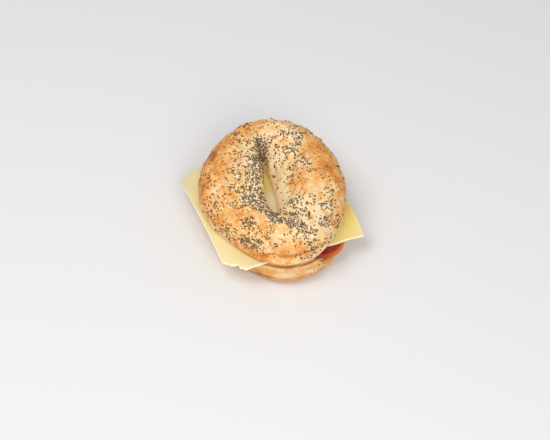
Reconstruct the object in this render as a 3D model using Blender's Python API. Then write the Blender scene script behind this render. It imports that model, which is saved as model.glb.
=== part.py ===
"""A bagel sandwich: a poppy seed bagel cut in two round a slice of tomato and a square slice of cheese.

+Z is up, +X is right and -Y is the front. The origin is at the middle of the sandwich's bounding
box, on the surface that it rests on. Sizes are in millimetres, and the meshes are made in metres.
"""
import math

import bmesh
import bpy
import numpy as np
from mathutils import Matrix, Vector
from mathutils.bvhtree import BVHTree

MM = 0.001
GAP = 0.4

# The bagel seen from above: an uneven oval ring, round its own middle.
WIDTH = 99.7
LENGTH = 128.0
# Each swelling of the outline: its number of lobes, its share of the radius, the angle of a lobe.
SWELLINGS = ((2, 0.061, -18.6), (3, 0.022, 52.0), (4, 0.009, 7.6), (5, 0.0044, -25.7), (6, 0.0045, 4.9))

# The pinched hole: a long slit that leans to the rear left, and bulges to the left near its front.
HOLE_CENTRE = (-3.6, 3.5)
HOLE_LENGTH = 58.0
HOLE_WIDTH = 7.8
HOLE_TURN = 12.0
HOLE_BULGE = 4.6
HOLE_BULGE_AT = -21.0
HOLE_BULGE_LENGTH = 14.0

# The bottom half: its cut face is a plane that climbs to the rear, and its side curls under.
BASE_HEIGHT = 20.5
CUT_SLOPE = 0.03
BASE_SHIFT = (2.4, -1.5)
BASE_CURL = 9.4
BASE_ROUNDNESS = 2.3
BASE_RIM_TUCK = 3.4
BASE_RIM_AT = 0.72
HOLE_FOOT_ROUNDING = 3.0
BASE_RELIEF_SHARE = 0.5
BASE_RELIEF_SQUEEZE = 1.3
BASE_EDGE_FADES = (0.3, 0.15)

# The top half: how far its crown stands over the cut face, and the curves down to hole and rim.
CROWN_HEIGHT = 26.0
CROWN_REAR_EXTRA = 2.5
CROWN_LEFT_EXTRA = 0.5
CROWN_PLACE = 0.46
CROWN_PLACE_RIGHT_EXTRA = 0.04
LEFT_WALL_ROUNDNESS = 5.0
RIGHT_WALL_ROUNDNESS = 1.25
LEFT_WALL_OVERHANG = 1.2
SIDE_ROUNDNESS = 2.35
WAIST_HEIGHT = 6.0
RIM_TUCK = 2.0
CROWN_AT = 0.42
WAIST_AT = 0.86
TOP_EDGE_FADES = (0.12, 0.10)

# The fold along the top half's front: a groove over a rolled lip, which falls to the edge at the left.
FOLD_ANGLE = -82.0
FOLD_SPREAD = 32.0
FOLD_HEIGHT = 10.5
FOLD_FALL = 8.0
FOLD_FALL_FROM = -88.0
FOLD_FALL_OVER = 24.0
FOLD_DEPTH = 2.2
FOLD_WIDTH = 1.8
LIP_PLACE = 0.45
LIP_BULGE = 1.2
LIP_WIDTH = 2.6

# Bumps and hollows of the crust: x, y, half length, half width, turn in degrees, height.
CRUST_RELIEF = (
    (21.0, 0.0, 15.0, 13.0, 20.0, 2.0),
    (13.5, -6.0, 12.0, 3.0, 67.0, -1.6),
    (10.0, -31.0, 15.0, 6.0, -12.0, -2.2),
    (-28.0, -10.0, 20.0, 14.0, 80.0, 1.0),
    (-11.0, 38.0, 10.0, 3.0, 105.0, -2.0),
    (14.0, 36.0, 14.0, 9.0, 0.0, 0.8),
)
CRUST_WAVE = 0.5
CRUST_WAVELENGTH = 19.0

# The cheese: a thin square slice, turned, with a torn front corner and a hanging left corner.
CHEESE_SIDE = 103.5
CHEESE_THICKNESS = 2.0
CHEESE_CENTRE = (-2.9, -1.4)
CHEESE_TURN = 22.4
TEAR_DEPTH = 9.5
TEAR_ZONE = 16.0
# The torn edge has a notch (place, half width, depth) and waves (height, length).
TEAR_NOTCH = (1.7, 1.4, 1.7)
TEAR_WAVES = (0.25, 3.6)
# How fast the cheese bends down past the rim: the direction in degrees, and the bend.
CHEESE_DROOPS = ((158.0, 0.025), (-115.0, 0.010), (-26.0, 0.012), (67.0, 0.020))
DROOP_SPREAD = 32.0

# The tomato: one round slice at the right front, whose rim hangs over the bottom half's edge.
TOMATO_RADIUS = 21.5
TOMATO_THICKNESS = 4.0
TOMATO_CENTRE = (29.8, -27.4)
TOMATO_DROOP = 0.030
# From the middle of its underside round to the middle of its top: shares of radius and thickness.
TOMATO_PROFILE = ((0.0, 0.0), (0.35, 0.0), (0.7, 0.0), (0.95, 0.0), (0.99, 0.22), (1.0, 0.5), (0.99, 0.78),
                  (0.95, 1.0), (0.7, 1.0), (0.35, 1.0), (0.0, 1.0))

# The whole stack sags where it presses the bottom half's right front rim down.
SAG_PLACE = (48.0, -45.0)
SAG_RADIUS = 16.0
SAG_DEPTH = 4.5

# How the cut faces ease off past the tomato and past the cheese: margin and ease.
TOMATO_PRESS = (2.5, 4.0)
CHEESE_PRESS = (3.0, 5.0)

# Poppy seeds.
SEED_LENGTH = 1.3
SEED_WIDTH = 1.05
SEED_HEIGHT = 0.95
SEED_SUNK = 0.34
SEED_SPACING = 1.5
SEED_LOWEST = 29.0
# Where seeds lie on the top half: x, y, radius of the patch, how thickly they lie in it.
SEED_PATCHES = (
    (-12.0, 20.0, 8.0, 0.9), (-12.0, 5.0, 8.0, 0.9), (-11.0, -9.0, 8.0, 0.9), (-6.0, -26.0, 6.0, 1.0),
    (13.0, -38.0, 8.0, 0.9), (20.0, -42.0, 8.0, 0.9), (22.0, -47.0, 6.0, 0.7), (-22.0, 19.0, 9.0, 0.5),
    (-22.0, 34.0, 8.0, 0.5), (-6.0, 42.0, 12.0, 0.3), (12.0, 46.0, 8.0, 0.6), (12.0, 31.0, 4.0, 1.0),
    (20.0, 20.0, 9.0, 0.5), (9.0, 2.0, 4.0, 0.5), (38.0, -9.0, 8.0, 0.5), (33.0, -23.0, 8.0, 0.4),
    (34.0, -35.0, 6.0, 0.6), (21.0, -17.0, 8.0, 0.3), (14.0, -24.0, 5.0, 0.4), (-44.0, -8.0, 6.0, 0.4),
    (-46.0, -22.0, 8.0, 0.5), (-34.0, -42.0, 9.0, 0.7), (-16.0, -42.0, 9.0, 0.6), (-16.0, -54.0, 8.0, 0.6),
    (-32.0, -14.0, 7.0, 0.4), (12.0, -52.0, 8.0, 0.3), (25.0, -48.0, 8.0, 0.4), (28.0, -56.0, 7.0, 0.4),
)
SEEDS_PER_AREA = 0.18
SEED_DRAW = 27
# The few seeds on the bottom half: direction in degrees, and how far up its side.
BASE_SEED_ANGLES = (-118.0, -114.0, -78.0, -60.0, -57.0, -54.0, 20.0, 100.0, 150.0, 205.0)
BASE_SEED_HEIGHTS = (0.45, 0.62, 0.50, 0.70, 0.55, 0.80, 0.60, 0.50, 0.65, 0.55)

# How finely the shapes are divided.
COLUMNS = 64
TOP_CLIMB_ROWS = 7
TOP_FALL_ROWS = 8
TOP_LIP_ROWS = 4
TOP_CUT_ROWS = (0.06, 0.12, 0.19, 0.27, 0.37, 0.5, 0.7, 0.85)
BASE_ROWS = (0.0, 0.12, 0.26, 0.42, 0.6, 0.8, 0.9, 1.0)
BASE_CUT_ROWS = 11
CHEESE_CORNER_CELLS = 6
CHEESE_CORNER_CELL = 1.9
CHEESE_CELLS = 18
TOMATO_SIDES = 40


def smooth_step(value):
    """Ease from 0 to 1 as the value goes from 0 to 1."""
    value = np.clip(value, 0.0, 1.0)
    return value*value*(3.0 - 2.0*value)


def outline(angle):
    """The bagel's widest outline seen from above."""
    swell = 1.0 + sum(share*np.cos(lobes*(angle - math.radians(at))) for lobes, share, at in SWELLINGS)
    return WIDTH/2*np.cos(angle)*swell, LENGTH/2*np.sin(angle)*swell


def hole_edge(angle, grow=0.0):
    """The slit's outline seen from above, which bulges to the left towards its front."""
    turn = math.radians(HOLE_TURN)
    along = (HOLE_LENGTH/2 + grow)*np.sin(angle)
    bulge = HOLE_BULGE*np.exp(-((along - HOLE_BULGE_AT)/HOLE_BULGE_LENGTH)**2)
    across = (HOLE_WIDTH/2 + grow)*np.cos(angle) - bulge*(1.0 - np.cos(angle))/2.0
    x = HOLE_CENTRE[0] + across*math.cos(turn) - along*math.sin(turn)
    y = HOLE_CENTRE[1] + across*math.sin(turn) + along*math.cos(turn)
    return x, y


def filling_height(x, y):
    """Height of the surface that the cheese lies on, between the halves."""
    from_sag = np.hypot(x - SAG_PLACE[0], y - SAG_PLACE[1])/SAG_RADIUS
    return BASE_HEIGHT + GAP + CUT_SLOPE*y - SAG_DEPTH*np.exp(-from_sag**2)


def past_rim(x, y):
    """How far a point lies outside the bagel's outline, 0 inside it."""
    angle = np.arctan2(y/LENGTH, x/WIDTH)
    rim_x, rim_y = outline(angle)
    return np.maximum(np.hypot(x, y) - np.hypot(rim_x, rim_y), 0.0)


def past_tomato(x, y):
    """How far a point lies outside the tomato slice, negative inside it."""
    return np.hypot(x - TOMATO_CENTRE[0], y - TOMATO_CENTRE[1]) - TOMATO_RADIUS


def past_cheese(x, y):
    """How far a point lies outside the cheese's square, negative inside it."""
    turn = math.radians(CHEESE_TURN)
    x, y = x - CHEESE_CENTRE[0], y - CHEESE_CENTRE[1]
    across = np.abs(x*math.cos(turn) + y*math.sin(turn))
    along = np.abs(y*math.cos(turn) - x*math.sin(turn))
    return np.maximum(across, along) - CHEESE_SIDE/2


def bottom_cut(x, y):
    """Height of the bottom half's cut face, pressed in under the tomato."""
    pressed = 1.0 - smooth_step((past_tomato(x, y) - TOMATO_PRESS[0])/TOMATO_PRESS[1])
    return filling_height(x, y) - GAP - (TOMATO_THICKNESS + GAP)*pressed


def top_cut(x, y):
    """Height of the top half's cut face, which closes on the bottom half past the cheese."""
    pressed = 1.0 - smooth_step((past_cheese(x, y) - CHEESE_PRESS[0])/CHEESE_PRESS[1])
    return filling_height(x, y) + (CHEESE_THICKNESS + GAP)*pressed


def crust_relief(x, y):
    """Bumps, hollows and slow waves of the crust, as a height along its normal."""
    height = np.zeros_like(x)
    for middle_x, middle_y, half_length, half_width, turn, rise in CRUST_RELIEF:
        turn = math.radians(turn)
        along = ((x - middle_x)*math.cos(turn) + (y - middle_y)*math.sin(turn))/half_length
        across = ((y - middle_y)*math.cos(turn) - (x - middle_x)*math.sin(turn))/half_width
        height = height + rise*np.exp(-along**2 - across**2)
    wave = 2.0*math.pi/CRUST_WAVELENGTH
    height = height + CRUST_WAVE*np.sin(wave*(x + 0.35*y))*np.sin(wave*(0.9*y - 0.25*x) + 1.0)
    return height


def grid_normals(points):
    """Outward normals of a ring's grid of points, by its neighbours round it and along it."""
    around = np.roll(points, -1, axis=0) - np.roll(points, 1, axis=0)
    along = np.gradient(points, axis=1)
    normals = np.cross(along, around)
    return normals/np.maximum(np.linalg.norm(normals, axis=2, keepdims=True), 1e-9)


def fold_height(angle):
    """Height of the fold above the top half's lower edge; it runs down to the edge at the left."""
    past = (FOLD_FALL_FROM - np.degrees(angle) + 180.0) % 360.0 - 180.0
    return FOLD_HEIGHT - FOLD_FALL*smooth_step(past/FOLD_FALL_OVER)


def top_crust(angle, row):
    """Points of the top half's crust: row 0 at the hole's lower edge, 1 at the rim's lower edge."""
    angle, row = np.meshgrid(angle, row, indexing="ij")
    rim_x, rim_y = outline(angle)
    hole_x, hole_y = hole_edge(angle)
    width = np.hypot(rim_x - hole_x, rim_y - hole_y)
    crown = CROWN_HEIGHT + CROWN_REAR_EXTRA*np.sin(angle) - CROWN_LEFT_EXTRA*np.cos(angle)
    place = CROWN_PLACE + CROWN_PLACE_RIGHT_EXTRA*np.cos(angle)
    leftness = (1.0 - np.cos(angle))/2.0
    wall_power = 2.0/(RIGHT_WALL_ROUNDNESS + (LEFT_WALL_ROUNDNESS - RIGHT_WALL_ROUNDNESS)*leftness)
    side_power = 2.0/SIDE_ROUNDNESS

    climb = np.clip(row/CROWN_AT, 0.0, 1.0)*math.pi/2
    fall = np.clip((row - CROWN_AT)/(WAIST_AT - CROWN_AT), 0.0, 1.0)*math.pi/2
    tuck = np.clip((row - WAIST_AT)/(1.0 - WAIST_AT), 0.0, 1.0)

    climb_out = place*(1.0 - np.abs(np.cos(climb))**wall_power)
    climb_out = climb_out - LEFT_WALL_OVERHANG/width*leftness**2*np.sin(climb*2.0)
    fall_out = place + (1.0 - place)*np.abs(np.sin(fall))**side_power
    outward = np.where(row <= CROWN_AT, climb_out, fall_out)
    outward = outward - RIM_TUCK*(1.0 - np.cos(tuck*math.pi/2))/width
    x = hole_x + (rim_x - hole_x)*outward
    y = hole_y + (rim_y - hole_y)*outward

    climb_up = crown*np.abs(np.sin(climb))**wall_power
    fall_up = WAIST_HEIGHT + (crown - WAIST_HEIGHT)*np.abs(np.cos(fall))**side_power
    height = np.where(row <= CROWN_AT, climb_up, fall_up)
    level = BASE_HEIGHT + CHEESE_THICKNESS + 2.0*GAP + CUT_SLOPE*y
    lip = top_cut(x, y)*tuck + (level + WAIST_HEIGHT)*(1.0 - tuck)
    z = np.where(tuck > 0.0, lip, level + height)
    z[:, 0] = top_cut(x, y)[:, 0]
    points = np.stack((x, y, z), axis=2)

    edge_fade = smooth_step(row/TOP_EDGE_FADES[0])*smooth_step((1.0 - row)/TOP_EDGE_FADES[1])
    shift = crust_relief(x, y)*edge_fade
    from_fold = (np.degrees(angle) - FOLD_ANGLE + 180.0) % 360.0 - 180.0
    front = np.exp(-(from_fold/FOLD_SPREAD)**4)*(row > CROWN_AT)
    rise = z - top_cut(x, y)
    fold = fold_height(angle)
    shift = shift - FOLD_DEPTH*front*np.exp(-((rise - fold)/FOLD_WIDTH)**2)
    shift = shift + LIP_BULGE*front*np.exp(-((rise - LIP_PLACE*fold)/LIP_WIDTH)**2)
    return points + grid_normals(points)*shift[:, :, None]


def bottom_crust(angle, row):
    """Points of the bottom half's side: row 0 at its flat foot, 1 at the cut face's rim."""
    angle, row = np.meshgrid(angle, row, indexing="ij")
    rim_x, rim_y = outline(angle)
    power = 2.0/BASE_ROUNDNESS
    turn = (1.0 - row)*math.pi/2
    rim = np.clip((row - BASE_RIM_AT)/(1.0 - BASE_RIM_AT), 0.0, 1.0)
    inward = BASE_CURL*(1.0 - np.abs(np.cos(turn))**power) + BASE_RIM_TUCK*rim**2
    share = 1.0 - inward/np.hypot(rim_x, rim_y)
    x, y = BASE_SHIFT[0] + rim_x*share, BASE_SHIFT[1] + rim_y*share
    z = bottom_cut(x, y)*(1.0 - np.abs(np.sin(turn))**power)
    points = np.stack((x, y, z), axis=2)
    edge_fade = smooth_step(row/BASE_EDGE_FADES[0])*smooth_step((1.0 - row)/BASE_EDGE_FADES[1])
    shift = BASE_RELIEF_SHARE*crust_relief(BASE_RELIEF_SQUEEZE*x, BASE_RELIEF_SQUEEZE*y)*edge_fade
    return points + grid_normals(points)*shift[:, :, None]


def make_material(name, colour, roughness):
    """A plain Principled material."""
    material = bpy.data.materials.new(name)
    material.use_nodes = True
    shader = material.node_tree.nodes["Principled BSDF"]
    shader.inputs["Base Color"].default_value = (*colour, 1.0)
    shader.inputs["Roughness"].default_value = roughness
    shader.inputs["Metallic"].default_value = 0.0
    material.diffuse_color = (*colour, 1.0)
    return material


def make_object(name, mesh, material):
    """Put a mesh in the scene as a named, smooth-shaded object."""
    mesh.materials.append(material)
    mesh.shade_smooth()
    mesh.set_sharp_from_angle(angle=math.radians(50.0))
    piece = bpy.data.objects.new(name, mesh)
    bpy.context.scene.collection.objects.link(piece)
    return piece


def ring_mesh(name, points):
    """Close a grid of points into a ring that joins up both ways round, with its faces out."""
    columns, rows = points.shape[:2]
    vertices = (points.reshape(-1, 3)*MM).tolist()
    faces = []
    for column in range(columns):
        following = (column + 1) % columns
        for row in range(rows):
            after = (row + 1) % rows
            corners = ((column, row), (following, row), (following, after), (column, after))
            faces.append([a*rows + b for a, b in corners])
    mesh = bpy.data.meshes.new(name)
    mesh.from_pydata(vertices, [], faces)
    face_outward(mesh)
    return mesh


def face_outward(mesh):
    """Split a mesh's faces into triangles and turn them all out."""
    shape = bmesh.new()
    shape.from_mesh(mesh)
    bmesh.ops.triangulate(shape, faces=shape.faces)
    bmesh.ops.recalc_face_normals(shape, faces=shape.faces)
    if shape.calc_volume(signed=True) < 0.0:
        bmesh.ops.reverse_faces(shape, faces=shape.faces)
    shape.to_mesh(mesh)
    shape.free()


def slab_mesh(name, upper, lower, boundary):
    """A thin closed slab of two grids of points, one over the other, joined round their boundary."""
    rows, columns = upper.shape[:2]
    count = rows*columns
    vertices = (np.concatenate((upper.reshape(-1, 3), lower.reshape(-1, 3)))*MM).tolist()
    faces = []
    for row in range(rows - 1):
        for column in range(columns - 1):
            corner = row*columns + column
            quad = [corner, corner + 1, corner + columns + 1, corner + columns]
            faces.append(quad)
            faces.append([count + index for index in reversed(quad)])
    for first, second in zip(boundary, boundary[1:] + boundary[:1]):
        faces.append([second, first, count + first, count + second])
    mesh = bpy.data.meshes.new(name)
    mesh.from_pydata(vertices, [], faces)
    face_outward(mesh)
    return mesh


def grid_boundary(rows, columns):
    """Indices round the edge of a grid, in order."""
    front = [column for column in range(columns)]
    right = [row*columns + columns - 1 for row in range(1, rows)]
    rear = [(rows - 1)*columns + column for column in range(columns - 2, -1, -1)]
    left = [row*columns for row in range(rows - 2, 0, -1)]
    return front + right + rear + left


def cut_face(outer, inner, shares, height):
    """Rows of points across a cut face, from one edge to the other, both left out."""
    shares = np.asarray(shares)[None, :]
    x = outer[:, 0, None]*(1.0 - shares) + inner[:, 0, None]*shares
    y = outer[:, 1, None]*(1.0 - shares) + inner[:, 1, None]*shares
    return np.stack((x, y, height(x, y)), axis=2)


def ring_angles():
    """Angles of the columns round a ring."""
    return np.arange(COLUMNS)*2.0*math.pi/COLUMNS


def make_bagel_top(material):
    """The domed top half, with a crust that runs down into the hole and a flat cut face."""
    rows = np.concatenate((np.linspace(0.0, CROWN_AT, TOP_CLIMB_ROWS),
                           np.linspace(CROWN_AT, WAIST_AT, TOP_FALL_ROWS)[1:],
                           np.linspace(WAIST_AT, 1.0, TOP_LIP_ROWS)[1:]))
    crust = top_crust(ring_angles(), rows)
    across = cut_face(crust[:, -1], crust[:, 0], TOP_CUT_ROWS, top_cut)
    mesh = ring_mesh("bagel_top", np.concatenate((crust, across), axis=1))
    return make_object("bagel_top", mesh, material)


def make_bagel_bottom(material):
    """The bottom half: a flat foot, a curled side, a cut face and the hole's straight wall."""
    side = bottom_crust(ring_angles(), np.array(BASE_ROWS))
    hole_x, hole_y = hole_edge(ring_angles())
    wall_top = np.stack((hole_x, hole_y, bottom_cut(hole_x, hole_y)), axis=1)
    across = cut_face(side[:, -1], wall_top, np.linspace(0.0, 1.0, BASE_CUT_ROWS)[1:-1], bottom_cut)
    wall_foot = wall_top.copy()
    wall_foot[:, 2] = HOLE_FOOT_ROUNDING
    foot_x, foot_y = hole_edge(ring_angles(), HOLE_FOOT_ROUNDING)
    foot = np.stack((foot_x, foot_y, np.zeros_like(foot_x)), axis=1)
    rings = (side, across, wall_top[:, None], wall_foot[:, None], foot[:, None])
    mesh = ring_mesh("bagel_bottom", np.concatenate(rings, axis=1))
    return make_object("bagel_bottom", mesh, material)


def cheese_points(across, along):
    """Plan position of the cheese's points, with the front corner torn off."""
    turn = math.radians(CHEESE_TURN)
    # The corner lies at the lowest across and the lowest along: measure towards it and past it.
    towards = -(across + along)/math.sqrt(2.0)
    square_edge = CHEESE_SIDE/math.sqrt(2.0) - np.abs(across - along)/math.sqrt(2.0)
    place = (across - along)/math.sqrt(2.0)
    notch_at, notch_half_width, notch_depth = TEAR_NOTCH
    wave_height, wave_length = TEAR_WAVES
    notch = notch_depth*np.exp(-((place - notch_at)/notch_half_width)**2)
    waves = wave_height*np.sin(place*2.0*math.pi/wave_length)
    torn_edge = CHEESE_SIDE/math.sqrt(2.0) - TEAR_DEPTH - notch + waves
    start = torn_edge - TEAR_ZONE
    squeeze = (torn_edge - start)/np.maximum(square_edge - start, 1e-6)
    torn = (towards > start) & (square_edge > torn_edge)
    moved = np.where(torn, start + (towards - start)*squeeze, towards)
    shift = (moved - towards)/math.sqrt(2.0)
    across, along = across - shift, along - shift
    x = CHEESE_CENTRE[0] + across*math.cos(turn) - along*math.sin(turn)
    y = CHEESE_CENTRE[1] + across*math.sin(turn) + along*math.cos(turn)
    return x, y


def cheese_droop(x, y):
    """How far the cheese hangs below its plane past the bagel's rim."""
    angle = np.degrees(np.arctan2(y, x))
    bend = np.zeros_like(x)
    for direction, rate in CHEESE_DROOPS:
        apart = (angle - direction + 180.0) % 360.0 - 180.0
        bend = bend + rate*np.exp(-(apart/DROOP_SPREAD)**2)
    return bend*past_rim(x, y)**2


def make_cheese(material):
    """The square slice of cheese, flat between the halves and bent down where it hangs free."""
    # The cells are finer towards the torn corner.
    corner = -CHEESE_SIDE/2 + CHEESE_CORNER_CELL*np.arange(CHEESE_CORNER_CELLS)
    rest = np.linspace(corner[-1] + CHEESE_CORNER_CELL, CHEESE_SIDE/2, CHEESE_CELLS + 1)
    steps = np.concatenate((corner, rest))
    x, y = cheese_points(*np.meshgrid(steps, steps))
    droop = cheese_droop(x, y)
    z = filling_height(x, y) - droop
    # A bent sheet keeps its length, so it draws in as it drops.
    draw_in = 1.0 - droop**2/(2.0*past_rim(x, y) + 1.0)/np.maximum(np.hypot(x, y), 1.0)
    x, y = x*draw_in, y*draw_in
    lower = np.stack((x, y, z), axis=2)
    upper = lower + np.array((0.0, 0.0, CHEESE_THICKNESS))
    mesh = slab_mesh("cheese_slice", upper, lower, grid_boundary(*x.shape))
    return make_object("cheese_slice", mesh, material)


def make_tomato(material):
    """The round slice of tomato: flat faces and a rounded skin, with its free rim hanging."""
    angle = np.arange(TOMATO_SIDES)*2.0*math.pi/TOMATO_SIDES
    shape = bmesh.new()
    rings = []
    for out, up in TOMATO_PROFILE:
        x = TOMATO_CENTRE[0] + TOMATO_RADIUS*out*np.cos(angle)
        y = TOMATO_CENTRE[1] + TOMATO_RADIUS*out*np.sin(angle)
        z = filling_height(x, y) - GAP - TOMATO_THICKNESS*(1.0 - up) - TOMATO_DROOP*past_rim(x, y)**2
        if out == 0.0:
            rings.append([shape.verts.new(Vector((x[0], y[0], z[0]))*MM)])
        else:
            rings.append([shape.verts.new(Vector(point)*MM) for point in zip(x, y, z)])
    for lower, upper in zip(rings, rings[1:]):
        for index in range(len(angle)):
            following = (index + 1) % len(angle)
            corners = [lower[index % len(lower)], lower[following % len(lower)],
                       upper[following % len(upper)], upper[index % len(upper)]]
            shape.faces.new(dict.fromkeys(corners))
    mesh = bpy.data.meshes.new("tomato_slice")
    shape.to_mesh(mesh)
    shape.free()
    face_outward(mesh)
    return make_object("tomato_slice", mesh, material)


def seed_mesh(name, place, normal, spin):
    """One seed: a small six-sided egg, sunk a little into the crust."""
    shape = bmesh.new()
    bmesh.ops.create_uvsphere(shape, u_segments=6, v_segments=4, radius=1.0)
    size = Matrix.Diagonal((SEED_LENGTH/2, SEED_WIDTH/2, SEED_HEIGHT/2, 1.0))
    stand = normal.to_track_quat("Z", "Y").to_matrix().to_4x4()
    turn = Matrix.Rotation(spin, 4, "Z")
    lift = Matrix.Translation(place/MM + normal*(SEED_HEIGHT/2 - SEED_SUNK))
    shape.transform(Matrix.Scale(MM, 4) @ lift @ stand @ turn @ size)
    mesh = bpy.data.meshes.new(name)
    shape.to_mesh(mesh)
    shape.free()
    return mesh


def seed_places_on_top(draw):
    """Draw places for seeds on the top half's crust, patch by patch, none too close to another."""
    angle = np.linspace(0.0, 2.0*math.pi, 240, endpoint=False)
    points = top_crust(angle, np.linspace(0.0, WAIST_AT, 90)).reshape(-1, 3)
    points = points[points[:, 2] > SEED_LOWEST]
    taken = []
    for x, y, radius, cover in SEED_PATCHES:
        near = points[np.hypot(points[:, 0] - x, points[:, 1] - y) < radius]
        wanted = len(taken) + round(SEEDS_PER_AREA*cover*radius**2)
        for point in near[draw.permutation(len(near))]:
            if all(np.linalg.norm(point - other) > SEED_SPACING for other in taken):
                taken.append(point)
            if len(taken) == wanted:
                break
    return taken


def seed_places_on_bottom():
    """Places for the few seeds on the bottom half's side."""
    places = []
    for angle, height in zip(BASE_SEED_ANGLES, BASE_SEED_HEIGHTS):
        near = bottom_crust(np.radians([angle - 1.0, angle, angle + 1.0]), np.array((0.0, height, 1.0)))
        places.append(near[1, 1])
    return places


def fuse_seeds(piece, places, draw, material):
    """Union seeds with the piece that they lie on, and tidy up after the union."""
    tree = BVHTree.FromObject(piece, bpy.context.evaluated_depsgraph_get())
    group = bpy.data.collections.new(piece.name + "_seeds")
    bpy.context.scene.collection.children.link(group)
    for number, place in enumerate(places):
        ground, normal, _, _ = tree.find_nearest(Vector(place)*MM)
        mesh = seed_mesh(f"seed_{number}", ground, normal, draw.uniform(0.0, math.pi))
        mesh.materials.append(material)
        group.objects.link(bpy.data.objects.new(mesh.name, mesh))
    union = piece.modifiers.new("seeds", "BOOLEAN")
    union.operation = "UNION"
    union.operand_type = "COLLECTION"
    union.collection = group
    union.solver = "MANIFOLD"
    bpy.context.view_layer.update()
    fused = bpy.data.meshes.new_from_object(piece.evaluated_get(bpy.context.evaluated_depsgraph_get()))
    piece.modifiers.remove(union)
    piece.data = fused
    for seed in list(group.objects):
        bpy.data.objects.remove(seed)
    bpy.data.collections.remove(group)


def set_origin(pieces):
    """Move every piece so that the origin is under the middle of the whole sandwich."""
    points = np.array([vertex.co for piece in pieces for vertex in piece.data.vertices])
    middle = (points.min(axis=0) + points.max(axis=0))/2
    for piece in pieces:
        piece.location = (-middle[0], -middle[1], 0.0)


def main():
    for old in list(bpy.data.objects):
        bpy.data.objects.remove(old)
    crust = make_material("crust", (0.74, 0.41, 0.14), 0.55)
    pale_crust = make_material("pale_crust", (0.79, 0.47, 0.19), 0.6)
    cheese = make_material("cheese", (0.87, 0.68, 0.30), 0.4)
    tomato = make_material("tomato", (0.50, 0.07, 0.02), 0.3)
    seed = make_material("poppy_seed", (0.10, 0.09, 0.09), 0.7)

    draw = np.random.default_rng(SEED_DRAW)
    bottom = make_bagel_bottom(pale_crust)
    fuse_seeds(bottom, seed_places_on_bottom(), draw, seed)
    top = make_bagel_top(crust)
    fuse_seeds(top, seed_places_on_top(draw), draw, seed)
    set_origin([bottom, make_tomato(tomato), make_cheese(cheese), top])


main()
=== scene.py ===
"""The looks of a bagel sandwich: baked crust with poppy seeds, a slice of cheese and a slice of tomato.

Shapes are worked out in millimetres, round the bagel's own middle, and meshes are made in metres.
+Z is up, +X is right and -Y is the front.
"""
import math

import bpy
import numpy as np
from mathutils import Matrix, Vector


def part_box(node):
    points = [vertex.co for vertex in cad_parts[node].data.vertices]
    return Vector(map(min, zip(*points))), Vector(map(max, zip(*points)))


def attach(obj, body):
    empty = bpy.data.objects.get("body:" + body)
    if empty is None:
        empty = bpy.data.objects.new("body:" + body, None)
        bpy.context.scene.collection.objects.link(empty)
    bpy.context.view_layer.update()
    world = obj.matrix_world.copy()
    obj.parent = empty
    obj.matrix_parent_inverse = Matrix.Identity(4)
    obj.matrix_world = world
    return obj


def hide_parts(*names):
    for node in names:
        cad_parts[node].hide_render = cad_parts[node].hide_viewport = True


MM = 0.001
GAP = 0.4

# The bagel seen from above, as the solids have it.
WIDTH = 99.7
LENGTH = 128.0
# Each swelling of the outline: its number of lobes, its share of the radius, the angle of a lobe.
SWELLINGS = ((2, 0.061, -18.6), (3, 0.022, 52.0), (4, 0.009, 7.6), (5, 0.0044, -25.7), (6, 0.0045, 4.9))
HOLE_CENTRE = (-3.6, 3.5)
HOLE_LENGTH = 58.0
HOLE_WIDTH = 7.8
HOLE_TURN = 12.0
HOLE_BULGE = 4.6
HOLE_BULGE_AT = -21.0
HOLE_BULGE_LENGTH = 14.0

# The bottom half.
BASE_HEIGHT = 20.5
CUT_SLOPE = 0.03
BASE_SHIFT = (2.4, -1.5)
BASE_CURL = 9.4
BASE_ROUNDNESS = 2.3
BASE_RIM_TUCK = 3.4
BASE_RIM_AT = 0.72
HOLE_FOOT_ROUNDING = 3.0
BASE_RELIEF_SHARE = 0.5
BASE_RELIEF_SQUEEZE = 1.3
BASE_EDGE_FADES = (0.3, 0.15)

# The top half.
CROWN_HEIGHT = 26.0
CROWN_REAR_EXTRA = 2.5
CROWN_LEFT_EXTRA = 0.5
CROWN_PLACE = 0.46
CROWN_PLACE_RIGHT_EXTRA = 0.04
LEFT_WALL_ROUNDNESS = 5.0
RIGHT_WALL_ROUNDNESS = 1.25
LEFT_WALL_OVERHANG = 1.2
SIDE_ROUNDNESS = 2.35
WAIST_HEIGHT = 6.0
RIM_TUCK = 2.0
CROWN_AT = 0.42
WAIST_AT = 0.86
TOP_EDGE_FADES = (0.12, 0.10)

# The fold along the top half's front.
FOLD_ANGLE = -82.0
FOLD_SPREAD = 32.0
FOLD_HEIGHT = 10.5
FOLD_FALL = 8.0
FOLD_FALL_FROM = -88.0
FOLD_FALL_OVER = 24.0
FOLD_DEPTH = 2.2
FOLD_WIDTH = 1.8
LIP_PLACE = 0.45
LIP_BULGE = 1.2
LIP_WIDTH = 2.6

# Bumps and hollows of the crust: x, y, half length, half width, turn in degrees, height.
CRUST_RELIEF = (
    (21.0, 0.0, 15.0, 13.0, 20.0, 2.0),
    (13.5, -6.0, 12.0, 3.0, 67.0, -1.6),
    (10.0, -31.0, 15.0, 6.0, -12.0, -2.2),
    (-28.0, -10.0, 20.0, 14.0, 80.0, 1.0),
    (-11.0, 38.0, 10.0, 3.0, 105.0, -2.0),
    (14.0, 36.0, 14.0, 9.0, 0.0, 0.8),
)
CRUST_WAVE = 0.5
CRUST_WAVELENGTH = 19.0

# The slices.
CHEESE_SIDE = 103.5
CHEESE_THICKNESS = 2.0
CHEESE_CENTRE = (-2.9, -1.4)
CHEESE_TURN = 22.4
TEAR_DEPTH = 9.5
TEAR_ZONE = 16.0
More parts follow.
